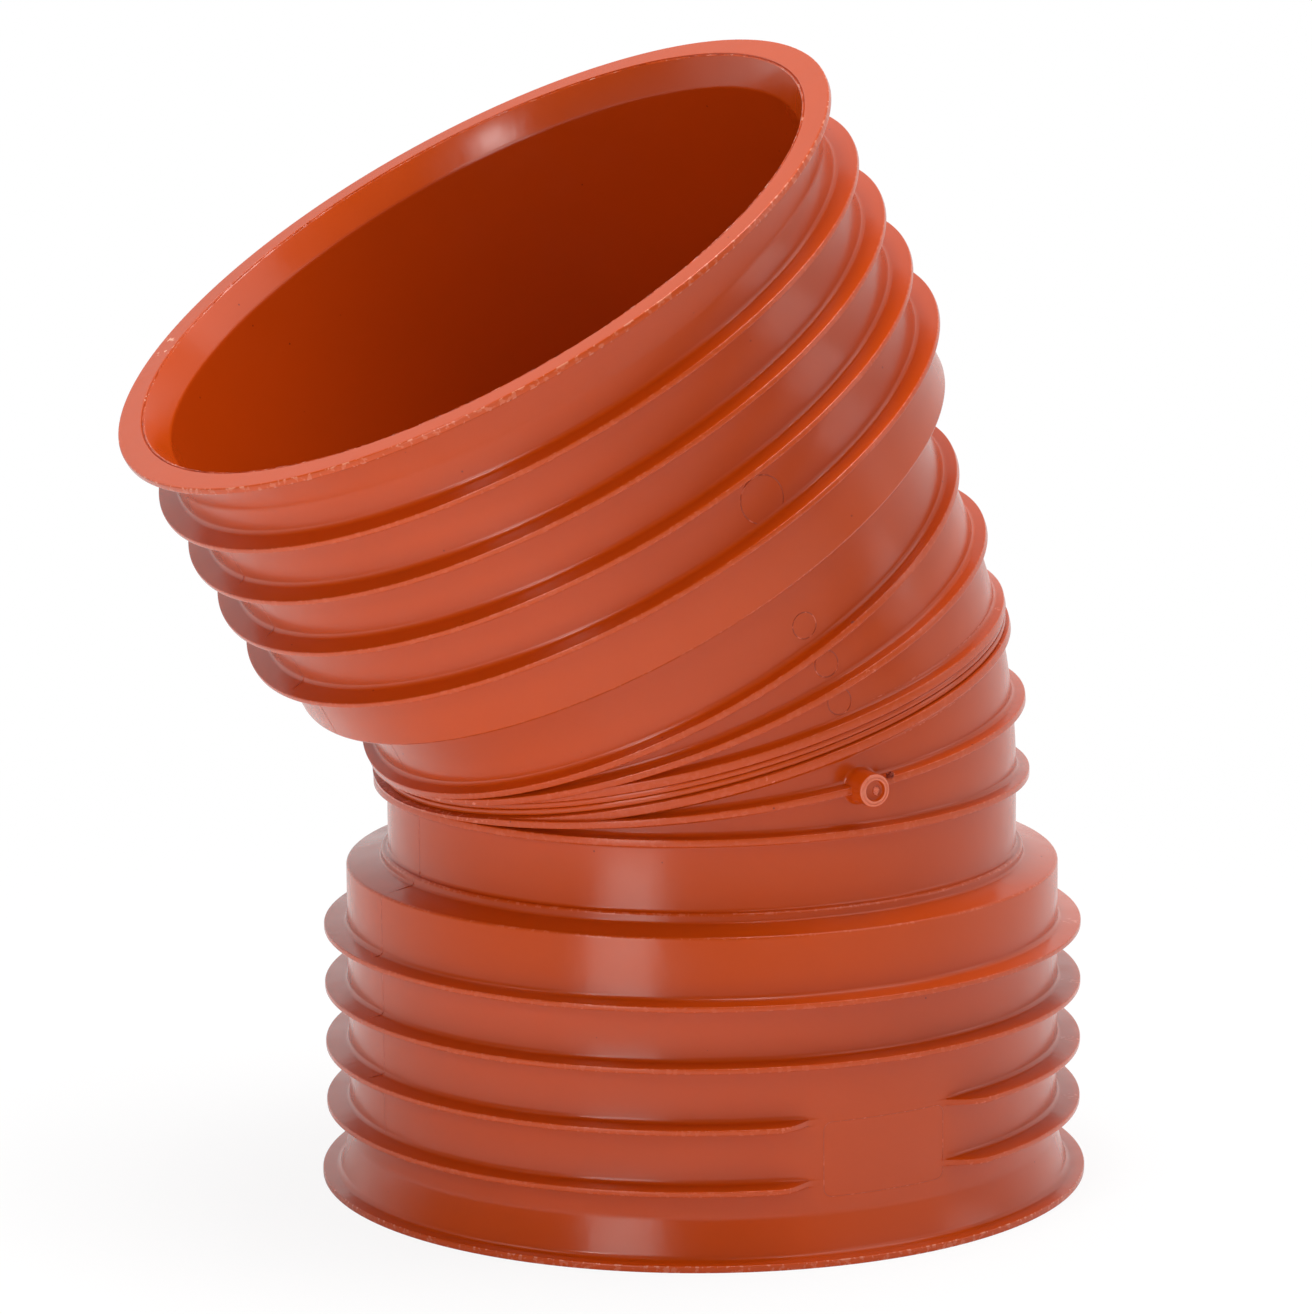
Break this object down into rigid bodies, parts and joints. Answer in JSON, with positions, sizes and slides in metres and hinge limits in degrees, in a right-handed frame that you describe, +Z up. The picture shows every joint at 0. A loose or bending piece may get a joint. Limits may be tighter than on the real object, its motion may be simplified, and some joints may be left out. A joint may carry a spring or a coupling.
{
  "type": "double-socket drain pipe bend",
  "caption": "Moulded plastic drain pipe bend with a ribbed plain socket at each end, turning the pipe by thirty degrees through a welded slanted joint.",
  "frame": {"origin": "centre of the lower mouth's face, in the plane the bend stands on", "axes": "+Z up the lower socket's bore; the bend leans towards -X in the XZ plane; the marking's flat and the gate's stub of the lower half face -Y"},
  "size_m": [0.5731, 0.4548, 0.669],
  "materials": {
    "moulded_plastic": "terracotta brown polypropylene, moulded, with a soft sheen"
  },
  "bodies": {
    "root": {"lower_socket_half": "moulded_plastic", "upper_socket_half": "moulded_plastic"}
  },
  "joints": []
}
